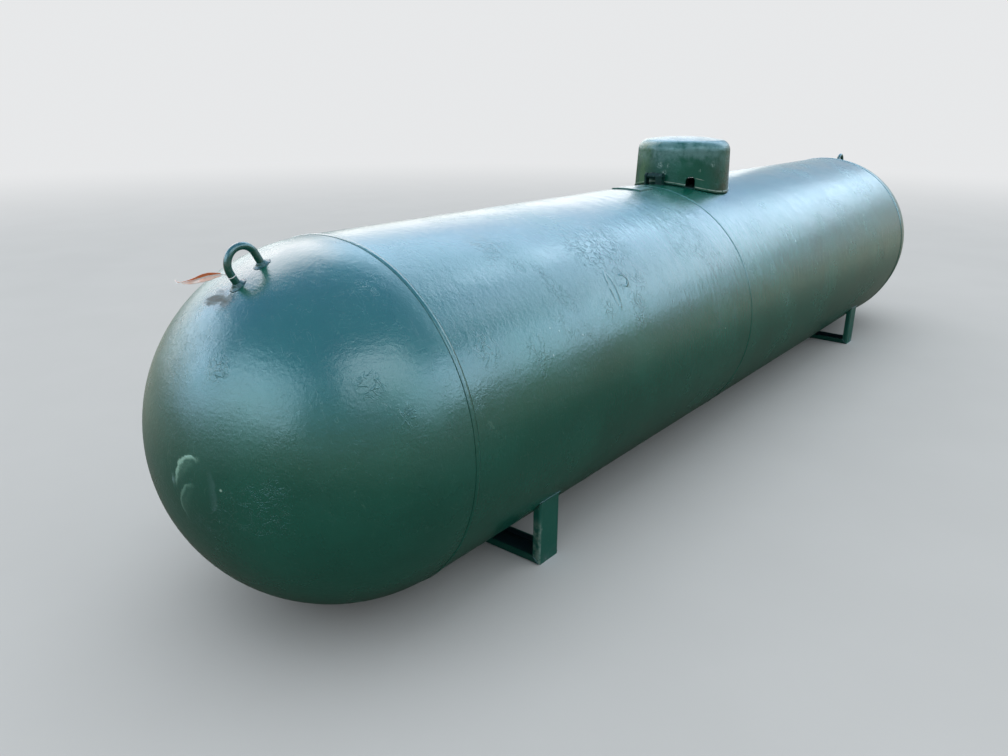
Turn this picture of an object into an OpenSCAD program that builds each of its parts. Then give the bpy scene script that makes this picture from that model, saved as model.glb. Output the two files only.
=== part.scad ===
// Horizontal pressure tank on two low channel frames, with a hinged fitting hood.
// X runs along the vessel, the camera side is -Y, Z is up, and the floor is Z = 0.
// The origin lies on the floor under the middle of the vessel.

/* [Vessel] */
// Outside diameter of the shell and of both heads
shell_d = 1030; // [900:5:1200]
// Length of the cylinder between the two head seams
shell_len = 4050; // [3700:10:5200]
// Wall of the rolled courses
shell_t = 7; // [5:0.5:12]
// Wall of the pressed heads
head_t = 6; // [4:0.5:12]
// Distance of the seam between the courses from mid length, toward the near head
course_seam_x = 317.5; // [260:0.5:380]
// Fit gap where a piece is seated on a round one
seat_gap = 0.2; // [0.1:0.05:0.4]

/* [Weld beads] */
// Width of the weld bead round each head
head_bead_w = 18; // [10:0.5:24]
// Height of the weld bead round each head over the plate
head_bead_h = 2.8; // [1:0.1:4]
// Width of the weld bead between the courses and along each course
seam_bead_w = 9; // [6:0.5:16]
// Height of the weld bead between the courses and along each course
seam_bead_h = 1.4; // [0.8:0.1:3]
// Place of the near course's long seam round the shell, from the crown to the far side
near_seam_angle = 52; // [35:1:80]
// Place of the far course's long seam round the shell, from the crown to the far side
far_seam_angle = 68; // [35:1:80]

/* [Leg frames] */
// Distance of each frame's middle from mid length
frame_x = 1565; // [1200:5:1700]
// Distance of a post's outer face in from the side of the shell
post_inset = 100; // [80:5:150]
// Width of the channel across its web
channel_w = 102; // [70:1:150]
// Depth of the channel over its flanges
channel_depth = 26; // [22:1:45]
// Thickness of the channel
channel_t = 5; // [4:0.5:7]
// Outside radius of the channel's bends
channel_bend_r = 8; // [7.5:0.5:16]
// Gap between the belly and the web of the cross channel
belly_gap = 5; // [2:0.5:15]

/* [Lifting lugs] */
// Diameter of the lug's round bar
lug_bar_d = 19; // [14:0.5:28]
// Distance between the two feet of a lug, centre to centre
lug_pitch = 83; // [70:1:130]
// Height of a lug over the head
lug_h = 85.5; // [76:0.5:120]
// Lean of a lug from upright, toward the vessel's end
lug_lean = 29; // [15:1:45]
// Width of the weld round each foot, beyond the bar
lug_weld_w = 5; // [3:0.5:10]
// Height of the weld round each foot
lug_weld_h = 7; // [4:0.5:12]

/* [Crown plate] */
// Distance of the plate's middle from mid length
plate_x = 440; // [400:1:600]
// Length of the plate along the vessel
plate_len = 101; // [60:1:140]
// Width of the plate across the vessel
plate_w = 128; // [80:1:180]
// Thickness of the plate
plate_t = 5; // [3:0.5:8]

/* [Hood] */
// Outside diameter of the hood at the height of the crown
hood_d = 409; // [380:1:430]
// Lean of the hood's wall toward its top
hood_draft = 2.2; // [0.5:0.1:4]
// Height of the hood's middle over the crown of the shell
hood_h = 192.5; // [180:0.5:260]
// Sheet thickness of the hood
hood_t = 3; // [2:0.5:5]
// Radius of the turned edge round the hood's top
hood_knuckle_r = 45; // [25:1:70]
// Radius of the shallow crown on the hood's top
hood_crown_r = 1050; // [800:10:3000]
// Gap between the hood's lower edge and the shell
hood_gap = 5; // [3:0.5:8]
// Height of the turned rim round the lower edge
rim_h = 7; // [4:0.5:12]
// Thickness of the turned rim, beyond the hood's wall
rim_t = 2.5; // [1:0.5:5]
// Width of the arched hose notch
notch_w = 41; // [25:1:60]
// Height of the notch over the hood's lower edge
notch_h = 45; // [34:1:60]
// Place of the notch round the hood, from the hinge toward the camera side
notch_angle = 36.8; // [30:0.1:70]

/* [Hood hinge] */
// Side shift of the hinge from the crown line, toward the far side
hinge_shift = 15; // [-20:1:20]
// Width over the thin ear and the broad one
hinge_w = 82; // [70:1:110]
// Thickness of the thin ear
ear_t = 8; // [5:0.5:12]
// Thickness of the broad ear
broad_ear_t = 30; // [15:1:36]
// Radius of an ear's round top
ear_r = 14; // [12:0.5:16]
// Height of the pin over the crown of the shell
pin_h = 33; // [28:0.5:40]
// Distance from the pin to the hood's wall
pin_offset = 22; // [22:0.5:30]
// Diameter of the hinge pin
pin_d = 10; // [6:0.5:14]
// Diameter of the pin's head and of its riveted end
pin_head_d = 18; // [16:0.5:24]
// Clearance of the pin in the rolled knuckles, on the diameter
pin_play = 0.8; // [0.4:0.1:1.5]
// Outside diameter of the rolled knuckle
knuckle_d = 22; // [19:0.5:26]
// Side clearance between the knuckle and each ear
knuckle_gap = 1.5; // [0.5:0.5:4]
// Thickness of the hinge strap
strap_t = 5; // [3:0.5:6]

/* [Lock hasp] */
// Length of the hasp beyond the hood's wall
hasp_len = 44; // [38:1:60]
// Width of the hasp
hasp_w = 46; // [40:1:60]
// Thickness of the hasp
hasp_t = 5; // [3:0.5:8]
// Height of the hasp over the crown of the shell
hasp_h = 26; // [20:1:40]
// Bar diameter of the lock staple
staple_bar_d = 8; // [5:0.5:10]
// Distance between the two legs of the staple, centre to centre
staple_pitch = 22; // [18:1:30]
// Height of the staple over the hasp
staple_rise = 26; // [20:1:40]
// Clearance round the staple in the hasp's slot
staple_play = 4; // [2:0.5:6]
// Distance of the slot's middle beyond the hasp's middle
slot_shift = 2; // [0:0.5:3]

/* [Fittings] */
// Height of the welded couplings over the crown of the shell
coupling_h = 16; // [10:1:24]
// Wall of the welded couplings beyond the fitting's thread
coupling_t = 9; // [6:0.5:14]
// Thread diameter of the large fittings
large_thread_d = 42; // [36:1:50]
// Thread diameter of the small fittings
small_thread_d = 27; // [20:1:34]
// Diameter of the service valve's handwheel
handwheel_d = 62; // [50:1:76]
// Width of the float gauge's square flange
gauge_w = 68; // [60:1:80]

/* [Tag] */
// Height of the tie over the foot of the lug
tie_h = 29; // [20:1:34]
// Thickness of the tie's ring
tie_d = 1.8; // [1.2:0.1:3]
// Width of the tie's flat tail
tail_w = 3.2; // [2:0.1:5]
// Thickness of the tie's flat tail
tail_t = 1.2; // [0.8:0.1:2]
// Radius of the curl in the tie's tail
tail_r = 58; // [40:1:80]
// Turn of the curl in the tie's tail
tail_turn = 84; // [60:1:110]
// Length of the tail's straight end
tail_end = 52; // [20:1:80]
// Width of the tag folded on the tail
tag_w = 18; // [10:1:30]
// Width of the tag's narrow end, next to the lug
tag_root_w = 9; // [5:1:18]
// Length of the tag's pointed end
tag_point = 14; // [5:1:25]
// Thickness of the tag
tag_t = 1.2; // [0.8:0.1:2]

/* [Hidden] */
$fn = 96;

paint = [0.07, 0.29, 0.24];
brass = [0.72, 0.58, 0.30];
steel = [0.60, 0.61, 0.62];

shell_r = shell_d / 2;
half_len = shell_len / 2;
axis_h = shell_r + belly_gap + channel_t;
frame_w = shell_d - 2 * post_inset;
crown_z = axis_h + shell_r;
cut = 1;
far_away = 4 * shell_d;

hood_r = hood_d / 2;
pin_x = -hood_r - pin_offset;
pin_z = crown_z + pin_h;
ear_depth = 2 * ear_r;

// A solid round bar along X on the vessel's axis
module axis_cylinder(r, len) {
    translate([-len / 2, 0, axis_h]) rotate([0, 90, 0]) cylinder(r = r, h = len);
}

// Everything that a piece seated on the shell has to leave free
module shell_seat() {
    axis_cylinder(shell_r + seat_gap, shell_len);
}

module head(side) {
    translate([side * half_len, 0, axis_h])
        rotate([0, side * 90, 0])
            difference() {
                sphere(r = shell_r);
                sphere(r = shell_r - head_t);
                translate([0, 0, -shell_r - cut]) cylinder(r = shell_r + cut, h = shell_r + cut);
            }
}

// A rolled course between two seams
module course(x0, x1) {
    translate([x0, 0, axis_h])
        rotate([0, 90, 0])
            difference() {
                cylinder(r = shell_r, h = x1 - x0);
                translate([0, 0, -cut]) cylinder(r = shell_r - shell_t, h = x1 - x0 + 2 * cut);
            }
}

// The domed section of a weld bead, its flat side at x = 0
module bead_section(width, height) {
    arc_r = (width * width / 4 + height * height) / (2 * height);
    intersection() {
        translate([height - arc_r, 0]) circle(r = arc_r);
        translate([0, -width]) square([height + cut, 2 * width]);
    }
}

module girth_weld(x, width, height) {
    translate([x, 0, axis_h])
        rotate([0, 90, 0])
            rotate_extrude() translate([shell_r + seat_gap, 0]) bead_section(width, height);
}

module middle_girth_weld() {
    color(paint) girth_weld(-course_seam_x, seam_bead_w, seam_bead_h);
}

// A bead along a course, ending short of the beads round its two ends
module long_weld(x0, x1, angle) {
    translate([x0, 0, axis_h])
        rotate([90 - angle, 0, 0])
            translate([0, shell_r + seat_gap, 0])
                rotate([90, 0, 90]) linear_extrude(x1 - x0) bead_section(seam_bead_w, seam_bead_h);
}

module near_long_weld() {
    color(paint) long_weld(-half_len + head_bead_w / 2, -course_seam_x - seam_bead_w / 2, near_seam_angle);
}

module far_long_weld() {
    color(paint) long_weld(-course_seam_x + seam_bead_w / 2, half_len - head_bead_w / 2, far_seam_angle);
}

// A bent round bar standing on the head, with a weld round each foot
module lifting_lug(side) {
    bend_r = lug_pitch / 2;
    leg_h = lug_h - bend_r - lug_bar_d / 2;
    root = lug_bar_d;
    translate([side * half_len, 0, axis_h])
        rotate([0, side * lug_lean, 0])
            difference() {
                translate([0, 0, shell_r]) {
                    for (foot = [-1, 1]) translate([foot * bend_r, 0, -root]) {
                        cylinder(d = lug_bar_d, h = leg_h + root);
                        foot_weld(root - foot_sag());
                    }
                    translate([0, 0, leg_h])
                        rotate([90, 0, 0])
                            rotate_extrude(angle = 180) translate([bend_r, 0]) circle(d = lug_bar_d);
                }
                sphere(r = shell_r + seat_gap);
            }
}

// How far the head falls away under a lug's foot
function foot_sag() = shell_r - sqrt(shell_r * shell_r - lug_pitch * lug_pitch / 4);

module foot_weld(base_z) {
    weld_d = lug_bar_d + 2 * lug_weld_w;
    translate([0, 0, base_z - lug_weld_h]) cylinder(d = weld_d, h = lug_weld_h);
    translate([0, 0, base_z]) cylinder(d1 = weld_d, d2 = lug_bar_d, h = lug_weld_h);
}

// A curved plate lying on the crown
module crown_plate() {
    color(paint) intersection() {
        difference() {
            axis_cylinder(shell_r + seat_gap + plate_t, shell_len);
            shell_seat();
        }
        translate([-plate_x - plate_len / 2, -plate_w / 2, axis_h]) cube([plate_len, plate_w, shell_d]);
    }
}

// The section of the formed channel, web outside at y = 0 and flanges toward +y
module channel_section() {
    bend = channel_bend_r;
    translate([-channel_w / 2 + bend, 0]) square([channel_w - 2 * bend, channel_t]);
    for (side = [0, 1]) mirror([side, 0]) {
        translate([-channel_w / 2, bend]) square([channel_t, channel_depth - bend]);
        intersection() {
            translate([-channel_w / 2 + bend, bend]) difference() {
                circle(r = bend);
                circle(r = bend - channel_t);
            }
            translate([-channel_w / 2, 0]) square(bend);
        }
    }
}

// The half space below a corner's mitre, seen from the frame's middle
module below_mitre() {
    translate([0, -frame_w / 2, 0])
        rotate([45, 0, 0])
            translate([-channel_w, -frame_w, -frame_w]) cube([2 * channel_w, 2 * frame_w, frame_w]);
}

module post(end, side) {
    translate([end * frame_x, 0, 0]) mirror([0, side > 0 ? 1 : 0, 0])
        difference() {
            translate([0, -frame_w / 2, 0]) linear_extrude(axis_h) channel_section();
            below_mitre();
            translate([-end * frame_x, 0, 0]) shell_seat();
        }
}

module cross_channel(end) {
    translate([end * frame_x, 0, 0])
        difference() {
            intersection() {
                translate([0, frame_w / 2, 0]) rotate([90, 0, 0]) linear_extrude(frame_w) channel_section();
                below_mitre();
                mirror([0, 1, 0]) below_mitre();
            }
            translate([-end * frame_x, 0, 0]) shell_seat();
        }
}

// The hood as a half section over the crown's height, its wall and dished top rounded into each other
module hood_section(inset) {
    edge_middle = [edge_x, edge_rise];
    wall_way = [cos(hood_draft), sin(hood_draft)] * hood_d;
    top_way = [edge_x, edge_rise + hood_crown_r - hood_h];
    lean = inset / cos(hood_draft);
    difference() {
        intersection() {
            polygon([[0, -shell_r], [hood_wall_r(axis_h) - lean, -shell_r],
                [hood_wall_r(axis_h + shell_d) - lean, shell_r], [0, shell_r]]);
            translate([0, hood_h - hood_crown_r]) circle(r = hood_crown_r - inset);
        }
        difference() {
            translate(edge_middle) polygon([[0, 0], wall_way, wall_way + top_way, top_way]);
            translate(edge_middle) circle(r = hood_knuckle_r - inset);
        }
    }
}

// Radius of the hood's outside wall at a height
function hood_wall_r(z) = hood_r - (z - crown_z) * tan(hood_draft);

// The hood's wall drawn out to a full cone, thicker by the given amount
module hood_cone(extra) {
    translate([0, 0, axis_h])
        cylinder(r1 = hood_wall_r(axis_h) + extra, r2 = hood_wall_r(axis_h + shell_d) + extra, h = shell_d);
}

// Middle of the arc of the turned edge, which touches both the wall and the dished top
edge_reach = hood_r - hood_knuckle_r / cos(hood_draft);
edge_slope = tan(hood_draft);
edge_b = edge_reach * edge_slope + hood_h - hood_crown_r;
edge_c = edge_reach * edge_reach + pow(hood_h - hood_crown_r, 2) - pow(hood_crown_r - hood_knuckle_r, 2);
edge_a = 1 + edge_slope * edge_slope;
edge_rise = (edge_b + sqrt(edge_b * edge_b - edge_a * edge_c)) / edge_a;
edge_x = edge_reach - edge_rise * edge_slope;

// The hose notch, cut through the wall between the hinge and the camera side, its round top a hair
// narrower than its straight sides
module hose_notch() {
    notch_y = hood_r * sin(notch_angle);
    edge_z = axis_h + sqrt(pow(shell_r + hood_gap, 2) - notch_y * notch_y);
    spring_z = edge_z + notch_h - notch_w / 2;
    rotate([0, 0, 180 + notch_angle])
        translate([hood_r / 2, 0, 0]) {
            translate([0, -notch_w / 2, axis_h]) cube([hood_r, notch_w, spring_z - axis_h]);
            translate([0, 0, spring_z]) rotate([0, 90, 0]) cylinder(d = notch_w - seat_gap, h = hood_r);
        }
}

module hood() {
    color(paint) difference() {
        union() {
            translate([0, 0, crown_z]) rotate_extrude() difference() {
                hood_section(0);
                hood_section(hood_t);
            }
            difference() {
                intersection() {
                    hood_cone(rim_t);
                    axis_cylinder(shell_r + hood_gap + rim_h, hood_d * 2);
                }
                hood_cone(-hood_t / 2);
            }
        }
        axis_cylinder(shell_r + hood_gap, hood_d * 2);
        hose_notch();
    }
}

// An upright ear with a round top, standing on the shell and drilled for the pin
module ear(width) {
    difference() {
        union() {
            translate([-ear_r, 0, -pin_h - shell_r / 4]) cube([ear_depth, width, pin_h + shell_r / 4]);
            rotate([-90, 0, 0]) cylinder(r = ear_r, h = width);
        }
        translate([0, -cut, 0]) rotate([-90, 0, 0]) cylinder(d = pin_d, h = width + 2 * cut);
    }
}

module hinge_ears() {
    color(paint) difference() {
        translate([pin_x, hinge_shift, pin_z]) {
            translate([0, -hinge_w / 2, 0]) ear(broad_ear_t);
            translate([0, hinge_w / 2 - ear_t, 0]) ear(ear_t);
        }
        shell_seat();
    }
}

module hinge_pin() {
    rivet_t = ear_t / 2;
    color(steel) translate([pin_x, hinge_shift, pin_z]) rotate([-90, 0, 0]) {
        translate([0, 0, -hinge_w / 2 - cut]) cylinder(d = pin_d - 2 * seat_gap, h = hinge_w + 2 * cut);
        for (side = [0, 1]) mirror([0, 0, side])
            translate([0, 0, hinge_w / 2 + seat_gap]) cylinder(d = pin_head_d, h = rivet_t);
    }
}

// A knuckle rolled round the pin between the ears, its strap running back to the hood's wall
module hinge_strap() {
    width = hinge_w - broad_ear_t - ear_t - 2 * knuckle_gap;
    color(paint) difference() {
        translate([pin_x, hinge_shift - hinge_w / 2 + broad_ear_t + knuckle_gap, pin_z]) difference() {
            union() {
                rotate([-90, 0, 0]) cylinder(d = knuckle_d, h = width);
                translate([0, 0, knuckle_d / 2 - strap_t]) cube([hood_r / 2, width, strap_t]);
            }
            translate([0, -cut, 0]) rotate([-90, 0, 0]) cylinder(d = pin_d + pin_play, h = width + 2 * cut);
        }
        hood_cone(seat_gap);
    }
}

// Place of the staple's middle along the vessel
staple_x = hood_r + hasp_len / 2 + slot_shift;
slot_len = staple_bar_d + 2 * staple_play;
slot_w = staple_pitch + staple_bar_d + 2 * staple_play;

module hood_hasp() {
    color(paint) difference() {
        translate([0, -hasp_w / 2, crown_z + hasp_h]) cube([hood_r + hasp_len, hasp_w, hasp_t]);
        hood_cone(seat_gap);
        translate([staple_x - slot_len / 2, -slot_w / 2, crown_z]) cube([slot_len, slot_w, hood_h]);
    }
}

module lock_staple() {
    bend_r = staple_pitch / 2;
    bend_z = crown_z + hasp_h + hasp_t + staple_rise - bend_r;
    color(steel) difference() {
        translate([staple_x, 0, 0]) {
            for (leg = [-1, 1]) translate([0, leg * bend_r, axis_h])
                cylinder(d = staple_bar_d, h = bend_z - axis_h);
            translate([0, 0, bend_z]) rotate([90, 0, 90])
                rotate_extrude(angle = 180) translate([bend_r, 0]) circle(d = staple_bar_d);
        }
        shell_seat();
    }
}

// Places of the fittings under the hood
relief_at = [88, 62];
filler_at = [18, -88];
vapour_at = [108, -44];
service_at = [-72, 58];
gauge_at = [0, 8];
level_at = [-84, -52];
coupling_top = crown_z + coupling_h;

module coupling(at, thread_d) {
    translate([at[0], at[1], axis_h]) cylinder(d = thread_d + 2 * coupling_t, h = shell_r + coupling_h);
}

module couplings() {
    color(paint) difference() {
        union() {
            for (at = [relief_at, filler_at]) coupling(at, large_thread_d);
            for (at = [vapour_at, service_at, level_at]) coupling(at, small_thread_d);
        }
        shell_seat();
    }
}

// A turned valve body on its hexagon, standing on a coupling
module valve_body(at, thread_d, hex_h, neck_h, neck_d) {
    hex_d = thread_d + coupling_t;
    translate([at[0], at[1], coupling_top]) {
        cylinder(d = hex_d, h = hex_h, $fn = 6);
        translate([0, 0, hex_h]) cylinder(d = neck_d, h = neck_h);
    }
}

module relief_valve() {
    hex_h = 20;
    neck_h = 52;
    cap_h = 12;
    cap_d = large_thread_d + 10;
    color(brass) {
        valve_body(relief_at, large_thread_d, hex_h, neck_h, large_thread_d);
        translate([relief_at[0], relief_at[1], coupling_top + hex_h + neck_h])
            cylinder(d1 = cap_d, d2 = large_thread_d, h = cap_h);
    }
}

module filler_valve() {
    hex_h = 22;
    neck_h = 24;
    cap_h = 30;
    cap_d = large_thread_d + 14;
    grip_w = 10;
    grips = 4;
    color(brass) {
        valve_body(filler_at, large_thread_d, hex_h, neck_h, large_thread_d);
        translate([filler_at[0], filler_at[1], coupling_top + hex_h + neck_h]) {
            cylinder(d = cap_d, h = cap_h);
            for (grip = [0:grips - 1]) rotate([0, 0, grip * 360 / grips])
                translate([0, -grip_w / 2, 0]) cube([cap_d / 2 + grip_w / 2, grip_w, cap_h]);
        }
    }
}

module vapour_valve() {
    hex_h = 18;
    neck_h = 22;
    cap_h = 22;
    cap_d = small_thread_d + 13;
    color(brass) {
        valve_body(vapour_at, small_thread_d, hex_h, neck_h, small_thread_d);
        translate([vapour_at[0], vapour_at[1], coupling_top + hex_h + neck_h])
            cylinder(d = cap_d, h = cap_h);
    }
}

service_hex_h = 18;
service_neck_h = 50;
service_top = coupling_top + service_hex_h + service_neck_h;
stem_h = 12;
stem_d = 10;

module service_valve() {
    neck_d = small_thread_d + 4;
    outlet_z = coupling_top + service_hex_h + service_neck_h / 2;
    outlet_d = 24;
    outlet_len = 40;
    outlet_turn = 200;
    nut_d = 35;
    nut_h = 16;
    color(brass) {
        valve_body(service_at, small_thread_d, service_hex_h, service_neck_h, neck_d);
        translate([service_at[0], service_at[1], outlet_z]) rotate([0, 90, outlet_turn]) {
            cylinder(d = outlet_d, h = outlet_len);
            translate([0, 0, outlet_len - nut_h / 2]) cylinder(d = nut_d, h = nut_h, $fn = 6);
        }
        translate([service_at[0], service_at[1], service_top]) cylinder(d = stem_d, h = stem_h);
    }
}

module handwheel() {
    rim_d = 9;
    hub_d = 20;
    spoke_d = 6;
    spokes = 4;
    ring_r = handwheel_d / 2 - rim_d / 2;
    color("firebrick") translate([service_at[0], service_at[1], service_top + stem_h]) {
        cylinder(d = hub_d, h = rim_d);
        translate([0, 0, rim_d / 2]) {
            rotate_extrude() translate([ring_r, 0]) circle(d = rim_d);
            for (i = [0:spokes - 1]) rotate([0, 90, i * 360 / spokes]) cylinder(d = spoke_d, h = ring_r);
        }
    }
}

module float_gauge() {
    flange_t = 10;
    boss_d = gauge_w - 14;
    dial_h = 18;
    bolt_d = 10;
    bolt_head_d = 14;
    bolt_head_h = 5;
    bolt_at = gauge_w / 2 - bolt_d;
    color(brass) translate([gauge_at[0], gauge_at[1], 0]) {
        difference() {
            translate([0, 0, axis_h]) cylinder(d = boss_d, h = shell_r + coupling_h);
            translate([-gauge_at[0], -gauge_at[1], 0]) shell_seat();
        }
        translate([-gauge_w / 2, -gauge_w / 2, coupling_top]) cube([gauge_w, gauge_w, flange_t]);
        translate([0, 0, coupling_top + flange_t]) {
            cylinder(d = boss_d, h = dial_h);
            for (x = [-1, 1], y = [-1, 1]) translate([x * bolt_at, y * bolt_at, 0])
                cylinder(d = bolt_head_d, h = bolt_head_h, $fn = 6);
        }
    }
}

module level_valve() {
    hex_h = 16;
    neck_h = 18;
    neck_d = small_thread_d - 8;
    knob_d = small_thread_d - 3;
    knob_h = 12;
    color(brass) {
        valve_body(level_at, small_thread_d, hex_h, neck_h, neck_d);
        translate([level_at[0], level_at[1], coupling_top + hex_h + neck_h])
            cylinder(d = knob_d, h = knob_h);
    }
}

// The tie goes round the near leg of the near lug, and its tail curls off toward the vessel's end
tie_ring_r = lug_bar_d / 2 + seat_gap + tie_d / 2;
tail_rise = 2;
tail_droop = 13;
tail_lift = 10;
tag_start = 25;
tag_taper = 18;

module at_tie() {
    translate([-half_len, 0, axis_h])
        rotate([0, -lug_lean, 0])
            translate([-lug_pitch / 2, 0, shell_r - foot_sag() + tie_h]) children();
}

// The middle of the tail's curl
module at_curl() {
    at_tie()
        rotate([0, lug_lean, 0])
            translate([0, tie_ring_r, 0])
                rotate([tail_rise, -tail_droop, 0])
                    translate([-tail_r, 0, 0]) children();
}

module tag_tie() {
    color("white") {
        at_tie() rotate_extrude() translate([tie_ring_r, 0]) circle(d = tie_d);
        at_curl() {
            rotate_extrude(angle = tail_turn)
                translate([tail_r - tail_t / 2, -tail_w / 2]) square([tail_t, tail_w]);
            rotate([0, 0, tail_turn]) translate([tail_r, -cut, 0]) rotate([-90 + tail_lift, 0, 0])
                cylinder(d = tail_t, h = tail_end);
        }
    }
}

// The tag's section, seen along the curl's axis: round the curl, then flat along the tail's end
module tag_strip() {
    inside_r = tail_r + tail_t / 2 + seat_gap;
    reach = 2 * tail_r;
    intersection() {
        difference() {
            circle(r = inside_r + tag_t);
            circle(r = inside_r);
        }
        polygon([[0, 0], [cos(tag_start), sin(tag_start)] * reach,
            [cos(tail_turn), sin(tail_turn)] * reach]);
    }
    rotate(tail_turn) translate([inside_r + seat_gap / 2, -cut]) square([tag_t, tail_end]);
}

// A tag folded on the tail, narrow next to the lug and pointed at its other end
module hang_tag() {
    root_x = tail_r * cos(tag_start);
    wide_x = root_x - tag_taper;
    color("orangered") at_curl() intersection() {
        translate([0, 0, -tag_w / 2]) linear_extrude(tag_w) tag_strip();
        rotate([90, 0, 0]) translate([0, 0, -2 * tail_r]) linear_extrude(2 * tail_r)
            polygon([[2 * tail_r, -tag_root_w / 2], [root_x, -tag_root_w / 2], [wide_x, -tag_w / 2],
                [0, -tag_w / 2], [-tag_point, 0], [0, tag_w / 2], [wide_x, tag_w / 2],
                [root_x, tag_root_w / 2], [2 * tail_r, tag_root_w / 2]]);
    }
}

color(paint) head(-1);  // near_head
color(paint) head(1);  // far_head
color(paint) course(-half_len, -course_seam_x);  // near_course
color(paint) course(-course_seam_x, half_len);  // far_course
color(paint) girth_weld(-half_len, head_bead_w, head_bead_h);  // near_girth_weld
middle_girth_weld();
color(paint) girth_weld(half_len, head_bead_w, head_bead_h);  // far_girth_weld
near_long_weld();
far_long_weld();
color(paint) lifting_lug(-1);  // near_lifting_lug
color(paint) lifting_lug(1);  // far_lifting_lug
crown_plate();
color(paint) post(-1, -1);  // near_front_post
color(paint) post(-1, 1);  // near_back_post
color(paint) cross_channel(-1);  // near_cross_channel
color(paint) post(1, -1);  // far_front_post
color(paint) post(1, 1);  // far_back_post
color(paint) cross_channel(1);  // far_cross_channel
hinge_ears();
hinge_pin();
hood();
hinge_strap();
hood_hasp();
lock_staple();
couplings();
relief_valve();
filler_valve();
vapour_valve();
service_valve();
handwheel();
float_gauge();
level_valve();
tag_tie();
hang_tag();
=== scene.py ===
import math

import bmesh
import bpy
from mathutils import Matrix, Vector, noise


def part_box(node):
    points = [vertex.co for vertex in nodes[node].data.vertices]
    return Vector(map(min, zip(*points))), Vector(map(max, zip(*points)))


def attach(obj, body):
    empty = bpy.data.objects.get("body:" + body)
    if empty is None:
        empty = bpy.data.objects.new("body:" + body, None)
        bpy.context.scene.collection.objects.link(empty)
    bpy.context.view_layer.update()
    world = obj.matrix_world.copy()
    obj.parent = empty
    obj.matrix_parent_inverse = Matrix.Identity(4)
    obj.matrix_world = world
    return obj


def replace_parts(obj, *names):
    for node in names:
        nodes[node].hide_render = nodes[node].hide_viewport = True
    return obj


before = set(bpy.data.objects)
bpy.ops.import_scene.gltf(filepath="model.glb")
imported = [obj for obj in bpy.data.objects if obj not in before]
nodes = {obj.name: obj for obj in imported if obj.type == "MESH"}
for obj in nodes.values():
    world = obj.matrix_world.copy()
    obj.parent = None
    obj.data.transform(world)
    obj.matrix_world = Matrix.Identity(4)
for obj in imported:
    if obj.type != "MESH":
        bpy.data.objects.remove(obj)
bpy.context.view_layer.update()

# Camera. It stands low at the near end, on the front side, and looks along the vessel
# toward the far leg frame, a little downward.
eye = Vector((-3.396, -1.6818, 1.3821))
gaze = Vector((0.7398, 0.5871, -0.3286))
roll = math.radians(0.388)
camera_data = bpy.data.cameras.new("camera")
camera_data.sensor_fit = "HORIZONTAL"
camera_data.sensor_width = 36
camera_data.lens = 28.63
camera = bpy.data.objects.new("camera", camera_data)
bpy.context.scene.collection.objects.link(camera)
camera.matrix_world = (Matrix.Translation(eye) @ gaze.to_track_quat("-Z", "Y").to_matrix().to_4x4()
                       @ Matrix.Rotation(roll, 4, "Z"))
bpy.context.scene.camera = camera


# Courses: two cylinders rolled from steel plate, welded end to end. The whole vessel was
# painted over by brush in thick glossy green enamel, round and round the shell, and the
# enamel dried with strokes, orange peel, wrinkled patches and fine scratches.
axis_height = 0.525
shell_radius = 0.515
half_length = 2.025
deep_green = (0.0034, 0.075, 0.050)
light_green = (0.0060, 0.102, 0.069)
round_strokes = (1.0, 3.2, 3.2)


def add_node(tree, kind, inputs=None, **settings):
    """Adds a node with its settings; an input is a value, or the output that is linked to it."""
    made = tree.nodes.new(kind)
    for key, value in settings.items():
        setattr(made, key, value)
    for key, value in (inputs or {}).items():
        if isinstance(value, bpy.types.NodeSocket):
            tree.links.new(value, made.inputs[key])
        else:
            made.inputs[key].default_value = value
    return made


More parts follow.
